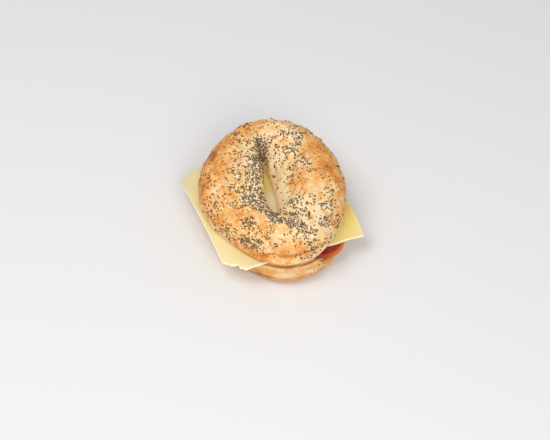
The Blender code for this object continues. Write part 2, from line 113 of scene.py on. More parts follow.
# The torn edge has a notch (place, half width, depth) and waves (height, length).
TEAR_NOTCH = (1.7, 1.4, 1.7)
TEAR_WAVES = (0.25, 3.6)
CHEESE_EDGE_RADIUS = 0.5
CHEESE_WAVE = 0.06
CHEESE_WAVE_RATE = 0.16
CHEESE_WAVE_FADE = 6.0
# How fast the cheese bends down past the rim: the direction in degrees, and the bend.
CHEESE_DROOPS = ((158.0, 0.025), (-115.0, 0.010), (-26.0, 0.012), (67.0, 0.020))
DROOP_SPREAD = 32.0
TOMATO_RADIUS = 21.5
TOMATO_THICKNESS = 4.0
TOMATO_CENTRE = (29.8, -27.4)
TOMATO_DROOP = 0.030
TOMATO_SKIN = 0.05
TOMATO_HOLLOW = 0.12
TOMATO_HOLLOW_WAVELENGTH = 6.0
TOMATO_HOLLOW_FADE = 0.1
SAG_PLACE = (48.0, -45.0)
SAG_RADIUS = 16.0
SAG_DEPTH = 4.5
# How the cut faces ease off past the tomato and past the cheese: margin and ease.
TOMATO_PRESS = (1.2, 2.6)
CHEESE_PRESS = (3.0, 5.0)

# Bands of seeds on the top half, in pixels of the picture: from across, down to across, down, half width,
# then how thickly they lie.
SEED_BANDS = (
    (241, 125, 253, 126, 4, 0.45), (234, 134, 246, 143, 4, 0.6), (231, 143, 235, 144, 3, 0.5),
    (225, 151, 228, 149, 3, 0.3), (260, 147, 262, 160, 4.5, 1.0), (241, 153, 250, 156, 5, 0.65),
    (236, 161, 240, 164, 3, 0.6), (251, 160, 249, 176, 6, 0.7), (257, 162, 256, 180, 5, 0.85),
    (232, 170, 238, 176, 4.5, 0.6), (209, 176, 212, 177, 2.5, 0.5), (211, 181, 217, 190, 4, 0.35),
    (233, 187, 243, 191, 4.5, 0.55), (248, 182, 258, 190, 6, 0.68), (250, 193, 258, 197, 6, 0.8),
    (248, 198, 260, 205, 7, 1.0), (261, 206, 268, 210, 5, 0.95), (270, 211, 275, 219, 5, 1.0),
    (276, 218, 288, 220, 5, 0.95), (284, 213, 296, 214, 4, 0.8), (290, 221, 303, 225, 5, 1.0),
    (303, 230, 306, 235, 4.5, 0.7), (206, 200, 221, 202, 4.5, 0.4), (210, 209, 216, 217, 5, 0.45),
    (225, 195, 231, 196, 3, 0.35), (231, 203, 242, 205, 4.5, 0.5), (243, 200, 250, 206, 4, 0.65),
    (254, 148, 257, 162, 3.5, 0.9), (245, 221, 252, 223, 5, 0.8), (243, 228, 252, 233, 6, 0.4),
    (221, 230, 231, 232, 4.4, 0.62), (246, 236, 258, 238, 5, 0.28), (240, 243, 258, 243, 3.5, 0.72),
    (261, 235, 266, 238, 3.5, 0.35), (272, 230, 276, 232, 3, 0.5), (261, 249, 264, 252, 3, 0.3),
    (269, 244, 272, 244, 2.5, 0.4), (267, 125, 296, 126, 6, 0.22), (281, 132, 299, 133, 4, 0.7),
    (298, 135, 299, 143, 4, 0.85), (290, 147, 294, 150, 4, 0.95), (267, 145, 279, 157, 8, 0.4),
    (280, 153, 284, 157, 4, 0.45), (299, 157, 308, 161, 5, 0.65), (292, 166, 296, 167, 4, 0.5),
    (305, 165, 308, 169, 4, 0.35), (288, 175, 291, 178, 3, 0.42), (273, 167, 278, 168, 3, 0.3),
    (319, 170, 326, 173, 5, 0.22), (326, 190, 335, 188, 4, 0.48), (330, 194, 336, 200, 5, 0.3),
    (322, 206, 328, 203, 4, 0.8), (318, 209, 329, 208, 4, 0.25), (321, 221, 327, 220, 4.5, 0.7),
    (334, 215, 339, 221, 4, 0.4), (313, 230, 316, 232, 4, 0.7), (330, 229, 337, 233, 5, 0.25),
    (298, 194, 304, 195, 3.5, 0.35), (311, 195, 314, 196, 3.5, 0.5), (291, 201, 297, 206, 4.5, 0.6),
    (302, 200, 315, 203, 4.5, 0.28), (301, 210, 308, 214, 5, 0.5), (287, 235, 297, 238, 4, 0.42),
    (289, 235, 276, 245, 2.6, 0.5), (294, 241, 301, 243, 3.5, 0.5), (309, 249, 318, 253, 4.5, 0.45),
    (324, 244, 332, 244, 3, 0.3), (272, 179, 275, 194, 2.6, 0.7), (255, 133, 262, 141, 6, 0.25),
    (264, 222, 272, 222, 3, 0.3), (206, 190, 212, 196, 4, 0.25), (225, 180, 235, 183, 4, 0.25),
    (259, 224, 262, 232, 5, 0.15), (256, 142, 260, 157, 2.5, 0.85), (260, 157, 261, 173, 2.8, 0.9),
)
PIXELS_PER_MM = 1.376
SAME_PLACE_PIXELS = 1.2
BARE_STRIP = (-24.0, -50.0, -9.0, -60.0)
BARE_STRIP_HALF_WIDTH = 6.5
BARE_STRIP_HEIGHT = 8.5
BARE_STRIP_FADE = 3.0
SEEDS_PER_MM2 = 1.25
STRAY_SEEDS_PER_MM2 = 0.025
STRAY_SEEDS_LEVEL = 0.15
STRAY_SEEDS_LEVEL_FADE = 0.35
SEED_SIZE = (1.32, 1.08, 0.9)
SEED_SUNK = 0.28
SEED_SPACING = 0.78
SEED_SIZE_RANGE = (0.82, 1.15)
SEED_STRETCH_RANGE = (0.92, 1.08)
SEED_SHADE_SPREAD = (1.6, 2.6)
SEED_TILT = 0.28
SEED_BEND = 0.5
SEED_DRAW = 5
SEED_GRID = (520, 280)
SEED_ROWS = (0.02, 0.94)
SEED_CLUMPS = 1.6
SEED_CLUMP_WAVELENGTH = 4.5
SEED_LOWEST = 4.0
SEED_LOWEST_FADE = 4.0
CROWDED_COVER = 0.6

# The few seeds on the bottom half: where round it in degrees, and how high on its side from 0 to 1.
BASE_SEED_ANGLES = (-107.0, -105.5, -104.0, -62.0, -59.0, -56.5, -54.5, -53.0, -50.0,
                    20.0, 100.0, 150.0, 205.0)
BASE_SEED_HEIGHTS = (0.72, 0.66, 0.72, 0.70, 0.82, 0.78, 0.88, 0.70, 0.84, 0.60, 0.50, 0.65, 0.55)

# Bands where the crust is browner or paler than elsewhere, some of them painted light or painted shade as
# marked: from x, y to x, y, half width, how much.
TOP_TOAST_AND_LIGHT_BANDS = (
    (-50, -8, -44, 22, 8, 0.22), (-44, 22, -16, 46, 7, 0.20), (30, 28, 42, 4, 10, 0.20),
    (-34, 0, -32, 8, 9, 0.04), (-49, -19, -44, -30, 4, 0.05), (14, 6, 11.5, 0, 2.2, 0.22),
    (11.5, 0, 13, -10, 2.2, 0.26), (22, -2, 26, 4, 8, 0.08), (-38, -31, -24, -36, 5, 0.12),
    # On the next line, the second and third bands are painted light: they pale the hole's right wall and the
    # slope beside it, so that these look lit.
    (-14, -43, -6, -50, 6, 0.12), (5, 8, 6, -22, 5, -0.55), (9, -5, 13, -18, 4, -0.30),
    (25, -12, 38, -26, 8, -0.08), (2, 20, -6, 34, 6, -0.25), (-14, 24, -16, -16, 8, -0.10),
    (20, -26, 34, -40, 12, -0.22), (0, -50, 20, -52, 8, -0.06), (-4, 44, 14, 40, 8, -0.12),
    # On the next line, the first band is painted shade: a dark spot for the deep recess at the slit's front
    # end.
    (4, -25, 4.5, -25.5, 1.6, 0.9), (-32, -24, -18, -42, 8, 0.10),
)
BASE_TOAST_BANDS = ((-30, -60, -16, -62, 12, 0.25), (-50, 0, -46, 30, 20, 0.12))

# How brown the top half is, from 0 for cream to 1 for dark brown, and what each kind of place adds; the
# marked ones are painted light or painted shade.
TOP_TOAST = 0.45
SEEDED_TOAST = -0.24
SEEDED_WIDEN = 1.3
CROWDED_TOAST = -0.2
SIDE_TOAST = 0.20
SIDE_TOAST_FROM = 7.0
# Painted light: the steep walls in the hole are paler, so that they look lit in the hole's shade.
WALL_PAINTED_LIGHT = -0.22
WALL_REACH = 26.0
WALL_REACH_FADE = 6.0
WALL_REACH_SQUEEZE = 0.8
WAIST_TOAST = -0.03
WAIST_TOAST_BELOW = 4.0
HEIGHT_FADE = 4.0
# Painted shade: darker in the fold's groove and on the lip's underside.
FOLD_PAINTED_SHADE = 0.20
FOLD_PAINTED_SHADE_BELOW = 0.3
FOLD_PAINTED_SHADE_WIDTH = 1.1
LIP_PAINTED_SHADE = 0.16
LIP_PAINTED_SHADE_HEIGHT = 2.2
BARE_STRIP_TOAST = 0.38
# Painted shade: darker along the crust's lower edge, in the gap between the halves and against the cheese in
# the hole.
RIM_PAINTED_SHADE = 0.65
RIM_PAINTED_SHADE_HEIGHT = 0.9

# The same for the bottom half.
BASE_TOAST = 0.29
# Painted shade: darker towards the foot, as if less light came up from the ground.
FOOT_PAINTED_SHADE = 0.26
FOOT_PAINTED_SHADE_BELOW = 15.0
FOOT_PAINTED_SHADE_FADE = 10.0
# Painted shade: darker just under the cut face's rim, in the gap between the halves.
BASE_RIM_PAINTED_SHADE = 0.12
BASE_RIM_PAINTED_SHADE_HEIGHT = 3.0
BASE_EDGE_PAINTED_SHADE = 0.7
BASE_EDGE_PAINTED_SHADE_HEIGHT = 0.9
CUT_TOAST = 0.45

# Ripples: how much each adds, how the points are squeezed for it, its wavelength and its random seed.
TOP_RIPPLES = ((0.16, 1.0, 8.0, 11), (0.07, 1.0, 3.0, 12))
BASE_RIPPLES = ((0.16, 1.0, 9.0, 21), (0.06, 1.0, 3.0, 22))
TOP_MOTTLING = ((0.06, 1.0, 14.0, 31), (0.05, 1.0, 6.0, 32), (0.05, 1.0, 2.5, 34))
BASE_STREAKS = ((0.12, (1.0, 1.0, 2.5), 14.0, 33), (0.07, (0.5, 0.5, 3.0), 8.0, 35))
SEED_CLUMP_SEED = 61
TOMATO_HOLLOW_SEED = 51

# Pores of the crumb: depth, wavelength, how much of the ripple stays level, random seed.
CRUMB_PORES = ((0.12, 3.2, 0.5, 41), (0.072, 1.6, 0.7, 42))

# Tints of the slices. The cheese's pale left side and tip are a painted sheen: gold comes in and goes out
# again along x, from where and over how far, and by what share.
# Its edges are painted light over a width. In the hole the cheese has a painted yellow tint of bounced light
# along one line and painted light along another, from x, y to x, y.
SHEEN_FADES_OUT = (5.0, 25.0)
TIP_SHEEN_FROM = (56.0, 6.0)
TIP_SHEEN_SHARE = 0.8
LIT_EDGE_WIDTH = 0.6
HOLE_BOUNCE_LINE = (-9.0, 24.0, -7.0, 12.0)
HOLE_LIGHT_LINE = (-3.0, -1.0, 0.0, -16.0)
HOLE_TINT_HALF_WIDTH = 6.0
HOLE_LIGHT_SHARE = 0.9
# The tomato's skin is red up to here past its middle, and turns orange over how far.
RED_SKIN_UNTIL = (6.0, 9.0)

# How finely the pieces are meshed.
TOP_COLUMNS = 400
TOP_ROWS = (80, 80, 26)
TOP_CUT_ROWS = 26
BASE_COLUMNS = 360
BASE_ROWS = 70
BASE_CUT_ROWS = 58
BASE_WALL_ROWS = 14
CHEESE_EDGE_STEPS = (0.0, 0.08, 0.25, 0.5)
CHEESE_MARGIN = 1.0
CHEESE_STEPS = 150
TOMATO_COLUMNS = 220
TOMATO_ROWS = 44
TOMATO_SKIN_ROWS = 14
SEED_SEGMENTS = 8
SEED_RINGS = 6

# How much blotches and specks spread the crust's shade.
CRUST_MOTTLING = (0.33, 0.80)
PALE_CRUST_MOTTLING = (0.26, 0.60)

# Noises of the materials: waves per metre, detail, roughness and distortion.
BLOTCHES = (170.0, 4.0, 0.62, 0.5)
SPECKS = (470.0, 3.0, 0.6)
HUE_CLOUDS = (75.0, 2.0)
CRUMB_GRAIN = (900.0, 3.0, 0.6)
SEED_GRAIN = (2500.0, 2.0)
CHEESE_CLOUDS = (60.0, 3.0, 0.5)
CHEESE_GRAIN = (900.0, 2.0, 0.5)
TOMATO_STREAKS = (260.0, 4.0, 0.6, 1.0)

# Colours, as sRGB values from 0 to 255; a ramp has a place from 0 to 1 with each.
CRUST_STOPS = ((0.0, (252, 236, 200)), (0.28, (247, 213, 160)), (0.50, (240, 183, 112)),
               (0.75, (222, 149, 70)), (1.0, (172, 100, 42)))
CRUST_TINTS = ((0.38, (255, 246, 242)), (0.62, (255, 251, 234)))
# The bottom crust's tints are darker than the top's: partly a tint of its own, partly painted shade, as if
# less light came up from the ground.
PALE_CRUST_TINTS_AND_SHADE = ((0.38, (244, 236, 232)), (0.62, (242, 239, 224)))
CRUMB_STOPS = ((0.35, (214, 178, 120)), (0.55, (246, 228, 184)))
LONE_SEED_STOPS = ((0.0, (88, 50, 14)), (0.5, (128, 86, 36)), (0.8, (154, 112, 58)), (1.0, (180, 142, 88)))
CROWDED_SEED_STOPS = ((0.0, (90, 67, 50)), (0.5, (130, 101, 78)), (0.8, (158, 128, 100)),
                      (1.0, (188, 158, 128)))
SEED_DUST = (156, 128, 94)
# The pale cheese ramp is a painted sheen.
CHEESE_SHEEN_STOPS = ((0.3, (233, 218, 163)), (0.7, (240, 226, 177)))
CHEESE_GOLD_STOPS = ((0.3, (239, 212, 127)), (0.7, (245, 221, 144)))
# This olive colour is a painted tint of bounced light, for the cheese in the hole's shade.
CHEESE_BOUNCE_TINT = (240, 228, 126)
# This cream colour is painted light, on the cheese's edges and in the hole.
CHEESE_PAINTED_LIGHT = (255, 246, 206)
TOMATO_FLESH_STOPS = ((0.3, (142, 26, 10)), (0.6, (164, 42, 16)), (0.8, (196, 94, 44)))
TOMATO_SKIN_STOPS = ((0.3, (202, 84, 0)), (0.7, (226, 128, 8)))
TOMATO_RED_SKIN = (176, 44, 8)
TOMATO_EDGE_STOPS = ((0.91, (0, 0, 0)), (0.97, (255, 255, 255)))
FLOOR_COLOUR = (236, 236, 238)

# The floor, then each light: its name, place and size in metres, power in watts and colour.
FLOOR_HALF_SIDE = 4.0
KEY_LIGHT = ("key", (-0.45, -0.25, 1.15), 0.7, 6.0, (1.0, 0.98, 0.95))
FILL_LIGHT = ("fill", (0.25, -1.1, 0.95), 0.8, 8.6, (1.0, 0.99, 0.97))
LIGHTS_AIM = (0.0, 0.0, 0.02)
STUDIO_STRENGTH = 0.45

# The camera: the photograph's angle and framing, for a picture of 550 by 440.
PICTURE_WIDTH = 550
PICTURE_HEIGHT = 440
FOCAL_PIXELS = 1800.0
SENSOR_WIDTH = 36.0
CAMERA_ELEVATION = 47.5
CAMERA_DISTANCE = 1310.65
CAMERA_AIM = (0.90, 0.85, 0.0)


def smooth_step(value):
    """0 up to a value of 0, 1 from a value of 1, and smooth between."""
    value = np.clip(value, 0.0, 1.0)
    return value*value*(3.0 - 2.0*value)


def ripple(points, wavelength, seed, waves=28):
    """Smooth even noise of about unit size: many sine waves in random directions."""
    draw = np.random.default_rng(seed)
    directions = draw.normal(size=(waves, 3))
    directions /= np.linalg.norm(directions, axis=1, keepdims=True)
    lengths = wavelength*draw.uniform(0.7, 1.4, waves)
    phases = draw.uniform(0.0, 2.0*math.pi, waves)
    total = np.zeros(points.shape[:-1])
    for direction, length, phase in zip(directions, lengths, phases):
        total += np.sin(points @ direction*(2.0*math.pi/length) + phase)
    return total*math.sqrt(2.0/waves)


def ripples(points, table):
    """The sum of a table's ripples."""
    return sum(amount*ripple(points*squeeze, wavelength, seed) for amount, squeeze, wavelength, seed in table)


def outline(angle):
    """The bagel's widest outline seen from above."""
    swell = 1.0 + sum(share*np.cos(lobes*(angle - math.radians(at))) for lobes, share, at in SWELLINGS)
    return WIDTH/2*np.cos(angle)*swell, LENGTH/2*np.sin(angle)*swell


def hole_edge(angle, grow=0.0):
    """The slit's outline seen from above, which bulges to the left towards its front."""
    turn = math.radians(HOLE_TURN)
    along = (HOLE_LENGTH/2 + grow)*np.sin(angle)
    bulge = HOLE_BULGE*np.exp(-((along - HOLE_BULGE_AT)/HOLE_BULGE_LENGTH)**2)
    across = (HOLE_WIDTH/2 + grow)*np.cos(angle) - bulge*(1.0 - np.cos(angle))/2.0
    x = HOLE_CENTRE[0] + across*math.cos(turn) - along*math.sin(turn)
    y = HOLE_CENTRE[1] + across*math.sin(turn) + along*math.cos(turn)
    return x, y


def filling_height(x, y):
    """Height of the surface that the cheese lies on, between the halves."""
    from_sag = np.hypot(x - SAG_PLACE[0], y - SAG_PLACE[1])/SAG_RADIUS
    return BASE_HEIGHT + GAP + CUT_SLOPE*y - SAG_DEPTH*np.exp(-from_sag**2)


def past_rim(x, y):
    """How far a point lies outside the bagel's outline, 0 inside it."""
    angle = np.arctan2(y/LENGTH, x/WIDTH)
    rim_x, rim_y = outline(angle)
    return np.maximum(np.hypot(x, y) - np.hypot(rim_x, rim_y), 0.0)


def past_tomato(x, y):
    """How far a point lies outside the tomato, less than 0 inside it."""
    return np.hypot(x - TOMATO_CENTRE[0], y - TOMATO_CENTRE[1]) - TOMATO_RADIUS


def past_cheese(x, y):
    """How far a point lies outside the whole square of the cheese, less than 0 inside it."""
    turn = math.radians(CHEESE_TURN)
    x, y = x - CHEESE_CENTRE[0], y - CHEESE_CENTRE[1]
    across = np.abs(x*math.cos(turn) + y*math.sin(turn))
    along = np.abs(y*math.cos(turn) - x*math.sin(turn))
    return np.maximum(across, along) - CHEESE_SIDE/2


def bottom_cut(x, y):
    """Height of the bottom half's cut face, pressed in under the tomato."""
    pressed = 1.0 - smooth_step((past_tomato(x, y) - TOMATO_PRESS[0])/TOMATO_PRESS[1])
    return filling_height(x, y) - GAP - (TOMATO_THICKNESS + GAP)*pressed


def top_cut(x, y):
    """Height of the top half's cut face, which closes on the bottom half past the cheese."""
    pressed = 1.0 - smooth_step((past_cheese(x, y) - CHEESE_PRESS[0])/CHEESE_PRESS[1])
    return filling_height(x, y) + (CHEESE_THICKNESS + GAP)*pressed


def from_line(x, y, start_x, start_y, end_x, end_y):
    """How far a point lies from a stretch of line, seen from above."""
    along_x, along_y = end_x - start_x, end_y - start_y
    share = ((x - start_x)*along_x + (y - start_y)*along_y)/(along_x**2 + along_y**2)
    share = np.clip(share, 0.0, 1.0)
    return np.hypot(x - start_x - share*along_x, y - start_y - share*along_y)


def seed_cover(x, y, bands, widen=1.0):
    """How thickly seeds lie on the top half, from 0 to 1."""
    cover = np.zeros_like(x)
    for *line, half_width, amount in bands:
        cover = np.maximum(cover, amount*np.exp(-(from_line(x, y, *line)/(half_width*widen))**4/2.0))
    return cover


def bare_strip(x, y, rise):
    """1 on the bare brown strip low on the front left, 0 away from it."""
    near = np.exp(-(from_line(x, y, *BARE_STRIP)/BARE_STRIP_HALF_WIDTH)**4)
    return near*(1.0 - smooth_step((rise - BARE_STRIP_HEIGHT)/BARE_STRIP_FADE))


def toast_and_light_bands(x, y, table):
    """How much browner or paler the crust is for the bands that a point lies in, painted light and painted
    shade among them.
    """
    return sum(amount*np.exp(-(from_line(x, y, *line)/half_width)**2) for *line, half_width, amount in table)


def crust_relief(x, y):
    """Bumps, hollows and slow waves of the crust, as a height along its normal."""
    height = np.zeros_like(x)
    for middle_x, middle_y, half_length, half_width, turn, rise in CRUST_RELIEF:
        turn = math.radians(turn)
        along = ((x - middle_x)*math.cos(turn) + (y - middle_y)*math.sin(turn))/half_length
        across = ((y - middle_y)*math.cos(turn) - (x - middle_x)*math.sin(turn))/half_width
        height += rise*np.exp(-along**2 - across**2)
    wave = 2.0*math.pi/CRUST_WAVELENGTH
    height += CRUST_WAVE*np.sin(wave*(x + 0.35*y))*np.sin(wave*(0.9*y - 0.25*x) + 1.0)
    return height


def grid_normals(points):
    """Outward normals of a ring's grid of points, by its neighbours round it and along it."""
    around = np.roll(points, -1, axis=0) - np.roll(points, 1, axis=0)
    along = np.gradient(points, axis=1)
    normals = np.cross(along, around)
    return normals/np.maximum(np.linalg.norm(normals, axis=2, keepdims=True), 1e-9)


def fold_height(angle):
    """Height of the fold above the top half's lower edge; it runs down to the edge at the left."""
    past = (FOLD_FALL_FROM - np.degrees(angle) + 180.0) % 360.0 - 180.0
    return FOLD_HEIGHT - FOLD_FALL*smooth_step(past/FOLD_FALL_OVER)


def top_crust(angle, row):
    """Points of the top half's crust: row 0 at the hole's lower edge, 1 at the rim's lower edge."""
    angle, row = np.meshgrid(angle, row, indexing="ij")
    rim_x, rim_y = outline(angle)
    hole_x, hole_y = hole_edge(angle)
    width = np.hypot(rim_x - hole_x, rim_y - hole_y)
    crown = CROWN_HEIGHT + CROWN_REAR_EXTRA*np.sin(angle) - CROWN_LEFT_EXTRA*np.cos(angle)
    place = CROWN_PLACE + CROWN_PLACE_RIGHT_EXTRA*np.cos(angle)
    leftness = (1.0 - np.cos(angle))/2.0
    wall_power = 2.0/(RIGHT_WALL_ROUNDNESS + (LEFT_WALL_ROUNDNESS - RIGHT_WALL_ROUNDNESS)*leftness)
    side_power = 2.0/SIDE_ROUNDNESS

    climb = np.clip(row/CROWN_AT, 0.0, 1.0)*math.pi/2
    fall = np.clip((row - CROWN_AT)/(WAIST_AT - CROWN_AT), 0.0, 1.0)*math.pi/2
    tuck = np.clip((row - WAIST_AT)/(1.0 - WAIST_AT), 0.0, 1.0)

    climb_out = place*(1.0 - np.abs(np.cos(climb))**wall_power)
    climb_out = climb_out - LEFT_WALL_OVERHANG/width*leftness**2*np.sin(climb*2.0)
    fall_out = place + (1.0 - place)*np.abs(np.sin(fall))**side_power
    outward = np.where(row <= CROWN_AT, climb_out, fall_out)
    outward = outward - RIM_TUCK*(1.0 - np.cos(tuck*math.pi/2))/width
    x = hole_x + (rim_x - hole_x)*outward
    y = hole_y + (rim_y - hole_y)*outward

    climb_up = crown*np.abs(np.sin(climb))**wall_power
    fall_up = WAIST_HEIGHT + (crown - WAIST_HEIGHT)*np.abs(np.cos(fall))**side_power
    height = np.where(row <= CROWN_AT, climb_up, fall_up)
    level = BASE_HEIGHT + CHEESE_THICKNESS + 2.0*GAP + CUT_SLOPE*y
    lip = top_cut(x, y)*tuck + (level + WAIST_HEIGHT)*(1.0 - tuck)
    z = np.where(tuck > 0.0, lip, level + height)
    z[:, 0] = top_cut(x, y)[:, 0]
    points = np.stack((x, y, z), axis=2)

    edge_fade = smooth_step(row/TOP_EDGE_FADES[0])*smooth_step((1.0 - row)/TOP_EDGE_FADES[1])
    shift = crust_relief(x, y)*edge_fade
    from_fold = (np.degrees(angle) - FOLD_ANGLE + 180.0) % 360.0 - 180.0
    front = np.exp(-(from_fold/FOLD_SPREAD)**4)*(row > CROWN_AT)
    rise = z - top_cut(x, y)
    fold = fold_height(angle)
    shift = shift - FOLD_DEPTH*front*np.exp(-((rise - fold)/FOLD_WIDTH)**2)
    shift = shift + LIP_BULGE*front*np.exp(-((rise - LIP_PLACE*fold)/LIP_WIDTH)**2)
    shift = shift + edge_fade*ripples(points, TOP_RIPPLES)
    return points + grid_normals(points)*shift[:, :, None]


def bottom_crust(angle, row):
    """Points of the bottom half's side: row 0 at its flat foot, 1 at the cut face's rim."""
    angle, row = np.meshgrid(angle, row, indexing="ij")
    rim_x, rim_y = outline(angle)
    power = 2.0/BASE_ROUNDNESS
    turn = (1.0 - row)*math.pi/2
    rim = np.clip((row - BASE_RIM_AT)/(1.0 - BASE_RIM_AT), 0.0, 1.0)
    inward = BASE_CURL*(1.0 - np.abs(np.cos(turn))**power) + BASE_RIM_TUCK*rim**2
    share = 1.0 - inward/np.hypot(rim_x, rim_y)
    x, y = BASE_SHIFT[0] + rim_x*share, BASE_SHIFT[1] + rim_y*share
    z = bottom_cut(x, y)*(1.0 - np.abs(np.sin(turn))**power)
    points = np.stack((x, y, z), axis=2)
    edge_fade = smooth_step(row/BASE_EDGE_FADES[0])*smooth_step((1.0 - row)/BASE_EDGE_FADES[1])
    shift = BASE_RELIEF_SHARE*crust_relief(BASE_RELIEF_SQUEEZE*x, BASE_RELIEF_SQUEEZE*y)
    shift = edge_fade*(shift + ripples(points, BASE_RIPPLES))
    return points + grid_normals(points)*shift[:, :, None]


def make_mesh(name, points, faces, attributes=None):
    """A smooth mesh object from points in millimetres and faces, with a float attribute for each name."""
    mesh = bpy.data.meshes.new(name)
    mesh.from_pydata(((points + SHIFT)*MM).tolist(), [], faces.tolist())
    for label, values in (attributes or {}).items():
        layer = mesh.attributes.new(label, "FLOAT", "POINT")
        layer.data.foreach_set("value", np.asarray(values, np.float32).ravel())
    mesh.shade_smooth()
    mesh.update()
    piece = bpy.data.objects.new(name, mesh)
    bpy.context.scene.collection.objects.link(piece)
    return piece


def ring_faces(columns, rows):
    """Quads of a grid that joins up both ways round, facing out."""
    column, row = np.meshgrid(np.arange(columns), np.arange(rows), indexing="ij")
    following, after = (column + 1) % columns, (row + 1) % rows
    corners = (column*rows + row, column*rows + after, following*rows + after, following*rows + row)
    return np.stack(corners, axis=2).reshape(-1, 4)


def cut_face(outer, inner, shares, height):
    """Rows of points across a cut face, from one edge to the other, both left out."""
    shares = np.asarray(shares)[None, :]
    x = outer[:, 0, None]*(1.0 - shares) + inner[:, 0, None]*shares
    y = outer[:, 1, None]*(1.0 - shares) + inner[:, 1, None]*shares
    return np.stack((x, y, height(x, y)), axis=2)


def crumb_relief(points):
    """Little pores of the crumb: a height of 0 or less, by which a cut face sinks in."""
    return -sum(depth*np.maximum(ripple(points, wavelength, seed) - level, 0.0)
                for depth, wavelength, level, seed in CRUMB_PORES)


def ring_angles(columns):
    """Even angles all the way round."""
    return np.arange(columns)*2.0*math.pi/columns


def new_material(name):
    """A material with its nodes, its links and its shader."""
    material = bpy.data.materials.new(name)
    material.use_nodes = True
    nodes, links = material.node_tree.nodes, material.node_tree.links
    return material, nodes, links, nodes["Principled BSDF"]


def linear(colour):
    """An sRGB colour of 0 to 255 as linear values."""
    values = np.array(colour)/255.0
    values = np.where(values <= 0.04045, values/12.92, ((values + 0.055)/1.055)**2.4)
    return (*values.tolist(), 1.0)


def add_node(nodes, kind, **settings):
    """A node with the settings given."""
    node = nodes.new(kind)
    for key, value in settings.items():
        setattr(node, key, value)
    return node


def noise(nodes, links, scale, detail=3.0, roughness=0.55, distortion=0.0):
    """A noise texture in the object's own coordinates; scale is in waves per metre."""
    place = add_node(nodes, "ShaderNodeTexCoord")
    texture = add_node(nodes, "ShaderNodeTexNoise")
    links.new(place.outputs["Object"], texture.inputs["Vector"])
    texture.inputs["Scale"].default_value = scale
    texture.inputs["Detail"].default_value = detail
    texture.inputs["Roughness"].default_value = roughness
    texture.inputs["Distortion"].default_value = distortion
    return texture.outputs["Fac"]


def ramp(nodes, links, source, stops):
    """A colour ramp; each stop is a place and an sRGB colour."""
    node = add_node(nodes, "ShaderNodeValToRGB")
    elements = node.color_ramp.elements
    while len(elements) < len(stops):
        elements.new(0.5)
    for element, (place, colour) in zip(elements, stops):
        element.position = place
        element.color = linear(colour)
    links.new(source, node.inputs["Fac"])
    return node.outputs["Color"]


def math_node(nodes, links, operation, first, second, third=None):
    """The result of a sum with numbers or other nodes' results."""
    node = add_node(nodes, "ShaderNodeMath", operation=operation)
    for socket, value in zip(node.inputs, (first, second, third)):
        if value is None:
            continue
        if isinstance(value, (int, float)):
            socket.default_value = value
        else:
            links.new(value, socket)
    return node.outputs[0]


def mix_colour(nodes, links, share, first, second, blend="MIX"):
    """The first colour with a share of the second mixed in."""
    node = add_node(nodes, "ShaderNodeMix", data_type="RGBA", blend_type=blend)
    for socket, value in ((node.inputs[0], share), (node.inputs[6], first), (node.inputs[7], second)):
        if isinstance(value, (int, float, tuple)):
            socket.default_value = value
        else:
            links.new(value, socket)
    return node.outputs[2]


def attribute(nodes, name):
    """A value that the mesh holds for each of its points."""
    return add_node(nodes, "ShaderNodeAttribute", attribute_name=name).outputs["Fac"]


def bump(nodes, links, shader, layers):
    """Bumps one over another: each layer is a height source, its depth in metres."""
    normal = None
    for source, depth in layers:
        node = add_node(nodes, "ShaderNodeBump")
        node.inputs["Strength"].default_value = 1.0
        node.inputs["Distance"].default_value = depth
        links.new(source, node.inputs["Height"])
        if normal is not None:
            links.new(normal, node.inputs["Normal"])
        normal = node.outputs["Normal"]
    links.new(normal, shader.inputs["Normal"])


def crust_material(name, spread, grain, tints_and_shade):
    """Baked crust: mottled from cream to golden brown by an attribute that also holds painted light and
    painted shade, with crumb where another attribute says so.
    """
    material, nodes, links, shader = new_material(name)
    # This attribute holds painted light and painted shade as well as how brown the crust is.
    toast_and_painted_light = attribute(nodes, "toast_and_painted_light")
    blotch = noise(nodes, links, *BLOTCHES)
    speck = noise(nodes, links, *SPECKS)
    mottled = math_node(nodes, links, "MULTIPLY_ADD", blotch, spread, toast_and_painted_light)
    mottled = math_node(nodes, links, "ADD", mottled, -spread/2)
    mottled = math_node(nodes, links, "MULTIPLY_ADD", speck, grain, mottled)
    mottled = math_node(nodes, links, "ADD", mottled, -grain/2)
    crust = ramp(nodes, links, mottled, CRUST_STOPS)
    pores = noise(nodes, links, *CRUMB_GRAIN)
    crumb = ramp(nodes, links, pores, CRUMB_STOPS)
    # The tints multiply the colour; for the bottom half they also darken it a little, which is painted shade.
    hue_and_shade = ramp(nodes, links, noise(nodes, links, *HUE_CLOUDS), tints_and_shade)
    crust = mix_colour(nodes, links, 1.0, crust, hue_and_shade, "MULTIPLY")
    colour = mix_colour(nodes, links, attribute(nodes, "crumb"), crust, crumb)
    links.new(colour, shader.inputs["Base Color"])
    gloss = math_node(nodes, links, "MULTIPLY_ADD", blotch, 0.25, 0.38)
    links.new(gloss, shader.inputs["Roughness"])
    shader.inputs["Subsurface Weight"].default_value = 0.12
    shader.inputs["Subsurface Radius"].default_value = (1.0, 0.55, 0.25)
    shader.inputs["Subsurface Scale"].default_value = 0.002
    shader.inputs["Specular IOR Level"].default_value = 0.4
    bump(nodes, links, shader, ((blotch, 0.0006), (speck, 0.00035), (pores, 0.00008)))
    return material


